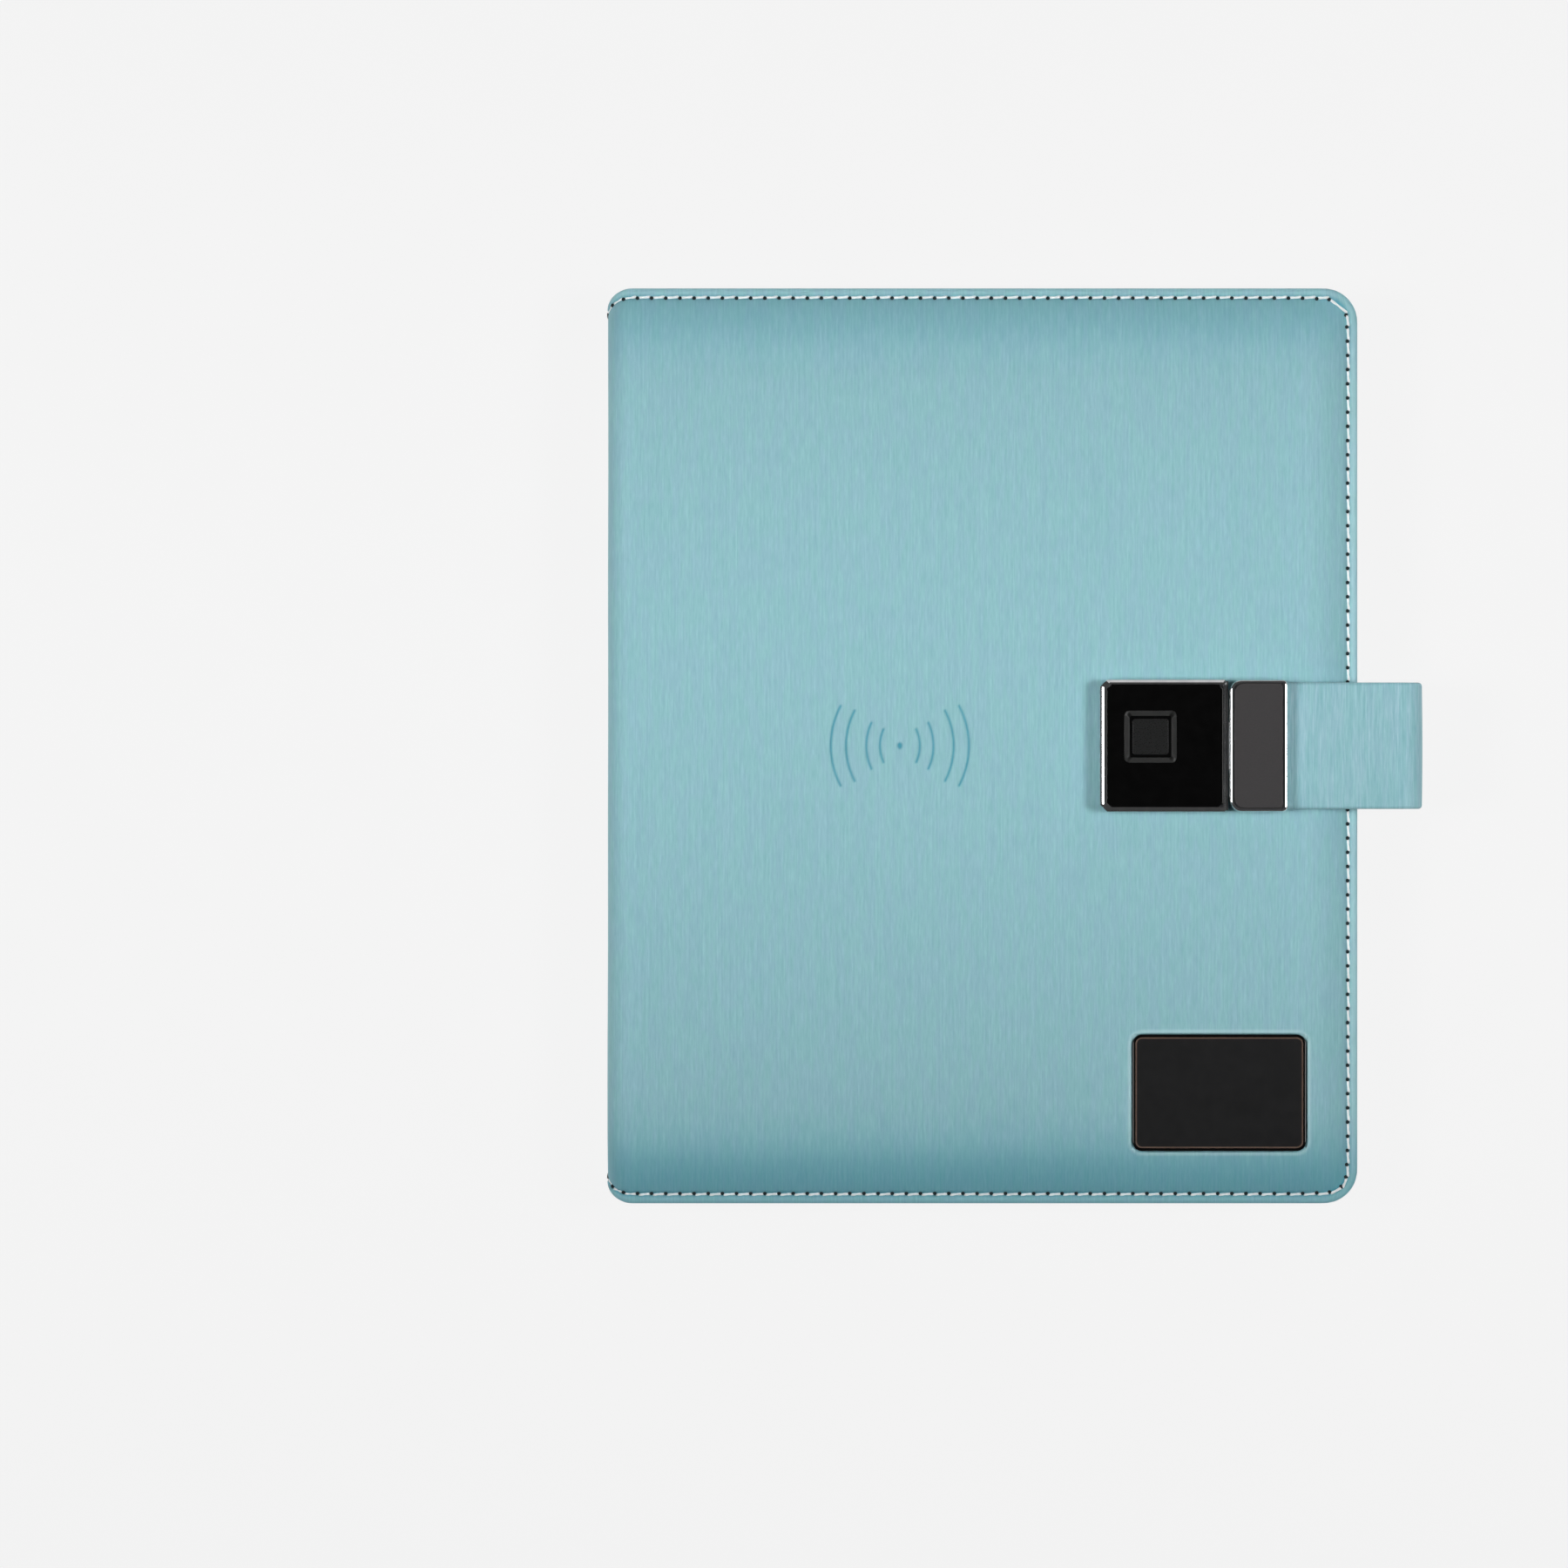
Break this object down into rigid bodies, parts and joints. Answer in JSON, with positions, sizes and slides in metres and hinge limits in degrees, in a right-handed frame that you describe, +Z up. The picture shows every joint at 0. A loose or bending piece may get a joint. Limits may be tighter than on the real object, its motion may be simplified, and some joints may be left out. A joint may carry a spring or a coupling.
{
  "type": "electronic secret diary",
  "caption": "Padded ring-bound diary in soft leather covers with a fingerprint lock on a strap and a wireless power pack in the front cover.",
  "frame": {"origin": "centre of the back cover's resting face", "axes": "+X from the spine towards the fore edge, +Y up the page, +Z up from the table through the closed covers"},
  "size_m": [0.2088, 0.235, 0.0435],
  "materials": {
    "leather": "light blue PU leather with a fine streaked grain",
    "lining": "matt lining",
    "foam": "padding foam",
    "board": "grey board",
    "paper": "uncoated paper",
    "black_plastic": "moulded, matt",
    "grey_plastic": "moulded, satin",
    "gloss_black": "polished",
    "grey_cap": "satin grey lacquer",
    "sensor_bezel": "satin",
    "sensor_glass": "satin",
    "chrome": "plated",
    "steel": "nickel plated",
    "copper": "enamelled copper winding",
    "ferrite": "matt",
    "cell_foil": "laminated foil",
    "circuit_board": "solder mask"
  },
  "bodies": {
    "back_cover": {"back_skin": "leather", "back_board": "board", "back_lining": "lining", "ring_rail": "steel", "rail_rivets": "steel", "lever_pins": "steel", "paper_pad": "paper", "strap_root": "leather"},
    "spine": {"spine_skin": "leather", "spine_board": "board", "spine_lining": "lining"},
    "front_cover": {"front_skin": "leather", "front_foam": "foam", "front_board": "board", "front_lining": "lining", "card_pockets": "lining", "power_tray": "black_plastic", "battery_cells": "cell_foil", "charge_board": "circuit_board", "charge_coil": "copper", "ferrite_sheet": "ferrite", "window_plate": "gloss_black", "display_board": "circuit_board", "port_block": "black_plastic", "usb_socket": "steel", "lock_housing": "chrome", "lock_base": "black_plastic", "lock_panel": "gloss_black", "sensor_frame": "sensor_bezel", "sensor_pad": "sensor_glass", "lock_board": "circuit_board", "lock_cell": "cell_foil", "lock_motor": "steel", "lock_screws": "steel"},
    "power_button": {"power_button": "grey_plastic"},
    "lead_screw": {"lead_screw": "steel"},
    "lock_bolt": {"lock_bolt": "steel"},
    "strap_side": {"strap_side": "leather"},
    "strap_flap": {"strap_flap": "leather", "head_shell": "chrome", "head_plate": "grey_cap", "head_striker": "steel", "head_clamp": "steel", "head_rivets": "steel"},
    "rings_right": {"rings_right": "chrome"},
    "rings_left": {"rings_left": "chrome"},
    "lever_top": {"lever_top": "steel"},
    "lever_bottom": {"lever_bottom": "steel"}
  },
  "joints": [
    {"name": "spine_fold", "type": "hinge", "parent": "back_cover", "child": "spine", "pos_m": [-0.09465, 0, 0.0016], "axis": [0, -1, 0], "range_deg": [0, 90]},
    {"name": "cover_fold", "type": "hinge", "parent": "spine", "child": "front_cover", "pos_m": [-0.09465, 0, 0.0329], "axis": [0, -1, 0], "range_deg": [0, 86]},
    {"name": "strap_side_fold", "type": "hinge", "parent": "back_cover", "child": "strap_side", "pos_m": [0.1113, 0, 0.0019], "axis": [0, 1, 0], "range_deg": [0, 86]},
    {"name": "strap_flap_fold", "type": "hinge", "parent": "strap_side", "child": "strap_flap", "pos_m": [0.1113, 0, 0.0373], "axis": [0, 1, 0], "range_deg": [0, 90]},
    {"name": "lever_top_turn", "type": "hinge", "parent": "back_cover", "child": "lever_top", "pos_m": [-0.076, 0.102, 0.0056], "axis": [-1, 0, 0], "range_deg": [0, 20]},
    {"name": "lever_bottom_turn", "type": "hinge", "parent": "back_cover", "child": "lever_bottom", "pos_m": [-0.076, -0.102, 0.0056], "axis": [1, 0, 0], "range_deg": [0, 20]},
    {"name": "rings_right_turn", "type": "hinge", "parent": "back_cover", "child": "rings_right", "pos_m": [-0.07, 0, 0.0055], "axis": [0, 1, 0], "range_deg": [0, 8.5]},
    {"name": "rings_left_turn", "type": "hinge", "parent": "back_cover", "child": "rings_left", "pos_m": [-0.082, 0, 0.0055], "axis": [0, -1, 0], "range_deg": [0, 8.5]},
    {"name": "lead_screw_turn", "type": "hinge", "parent": "front_cover", "child": "lead_screw", "pos_m": [0.0525, 0, 0.0376], "axis": [1, 0, 0], "range_deg": [0, 720]},
    {"name": "bolt_slide", "type": "slide", "parent": "front_cover", "child": "lock_bolt", "axis": [1, 0, 0], "range_m": [0, 0.0025]},
    {"name": "button_press", "type": "slide", "parent": "front_cover", "child": "power_button", "axis": [-1, 0, 0], "range_m": [0, 0.0006], "stiffness_N_per_m": 300}
  ],
  "couplings": [
    {"joint": "lever_bottom_turn", "follows": "lever_top_turn", "ratio": 1},
    {"joint": "rings_right_turn", "follows": "lever_top_turn", "ratio": 0.425},
    {"joint": "rings_left_turn", "follows": "lever_top_turn", "ratio": 0.425},
    {"joint": "lead_screw_turn", "follows": "bolt_slide", "rad_per_m": 5026.5}
  ]
}
